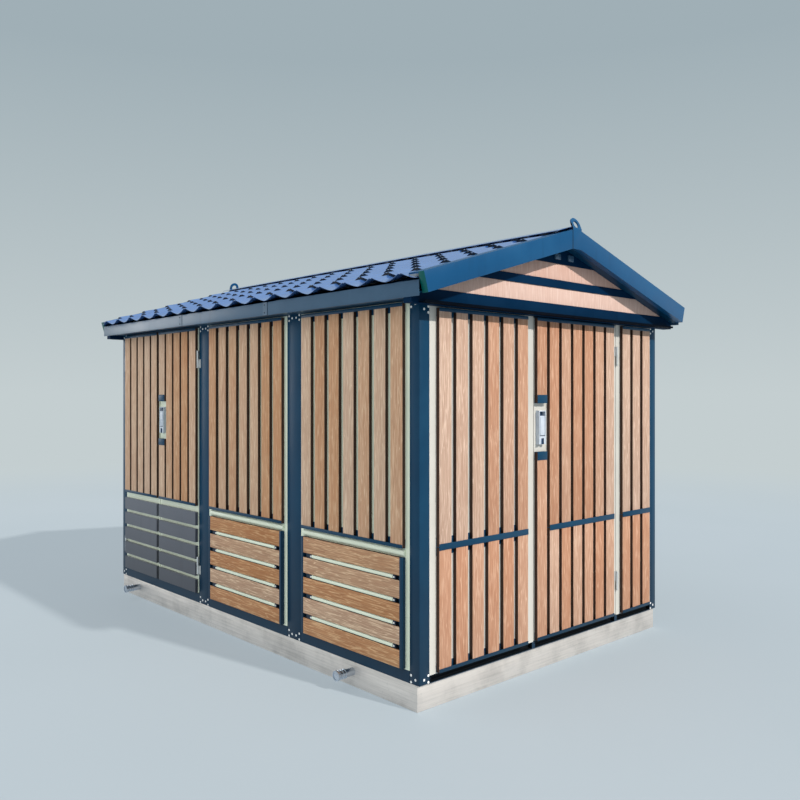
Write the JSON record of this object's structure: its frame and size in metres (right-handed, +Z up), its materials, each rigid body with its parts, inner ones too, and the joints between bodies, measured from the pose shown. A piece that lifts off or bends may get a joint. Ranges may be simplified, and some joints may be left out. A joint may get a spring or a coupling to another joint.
{
  "type": "compact substation",
  "caption": "Compact substation cabin: slatted boards on a steel frame, double and single doors, louvred lower bays and a pitched tile-profile roof.",
  "frame": {"origin": "on the ground under the middle of the footprint", "axes": "+X along the ridge towards the gable with the single door, -Y out of the front with the double door, +Z up"},
  "size_m": [3.7, 2.5196, 2.5916],
  "materials": {
    "frame_blue": "satin ocean-blue paint",
    "roof_blue": "gloss blue coated sheet",
    "panel_cream": "satin cream paint",
    "board_wood": "brushed wood-composite board",
    "plinth_metal": "brushed bare sheet",
    "floor_steel": "matt grey paint",
    "bright_steel": "turned bright steel",
    "hinge_steel": "satin steel",
    "handle_grey": "light grey moulded handle"
  },
  "bodies": {
    "cabin": {"back_roof_sheet": "roof_blue", "bargeboards": "frame_blue", "base_frame": "plinth_metal", "bay_posts": "frame_blue", "board_channels": "frame_blue", "corner_posts": "frame_blue", "fascias": "frame_blue", "floor_plate": "floor_steel", "frame_hinges": "hinge_steel", "frame_rails": "frame_blue", "front_roof_sheet": "roof_blue", "gable_beams": "frame_blue", "gable_boards": "board_wood", "gable_jambs": "frame_blue", "gable_panels": "panel_cream", "infill_boards": "board_wood", "infill_panels": "frame_blue", "lifting_bollards": "bright_steel", "louvre_bars": "panel_cream", "low_boards": "board_wood", "low_rails": "frame_blue", "ridge_cap": "roof_blue", "roof_frame": "frame_blue", "side_boards": "board_wood", "side_panels": "panel_cream", "soffits": "frame_blue"},
    "left_door": {"left_door_leaf": "panel_cream", "left_door_boards": "board_wood", "left_door_channels": "frame_blue", "left_door_blades": "frame_blue", "left_door_hinges": "hinge_steel"},
    "right_door": {"right_door_leaf": "panel_cream", "right_door_boards": "board_wood", "right_door_channels": "frame_blue", "right_door_blades": "frame_blue", "right_door_hinges": "hinge_steel", "right_door_handle": "handle_grey"},
    "gable_door": {"gable_door_leaf": "panel_cream", "gable_door_boards": "board_wood", "gable_door_channels": "frame_blue", "gable_door_hinges": "hinge_steel", "gable_door_handle": "handle_grey"},
    "right_door_lever": {"right_door_lever": "handle_grey"},
    "gable_door_lever": {"gable_door_lever": "handle_grey"}
  },
  "joints": [
    {"name": "left_door_hinge", "type": "hinge", "parent": "cabin", "child": "left_door", "pos_m": [-1.6275, -1.13, 1], "axis": [0, 0, -1], "range_deg": [0, 110]},
    {"name": "right_door_hinge", "type": "hinge", "parent": "cabin", "child": "right_door", "pos_m": [-0.4765, -1.13, 1], "axis": [0, 0, 1], "range_deg": [0, 110]},
    {"name": "gable_door_hinge", "type": "hinge", "parent": "cabin", "child": "gable_door", "pos_m": [1.71, 0.6345, 1], "axis": [0, 0, 1], "range_deg": [0, 110]},
    {"name": "right_lever_pivot", "type": "hinge", "parent": "right_door", "child": "right_door_lever", "pos_m": [-0.9895, -1.137, 1.45], "axis": [-1, 0, 0], "range_deg": [0, 35]},
    {"name": "gable_lever_pivot", "type": "hinge", "parent": "gable_door", "child": "gable_door_lever", "pos_m": [1.717, -0.158, 1.45], "axis": [0, -1, 0], "range_deg": [0, 35]}
  ]
}
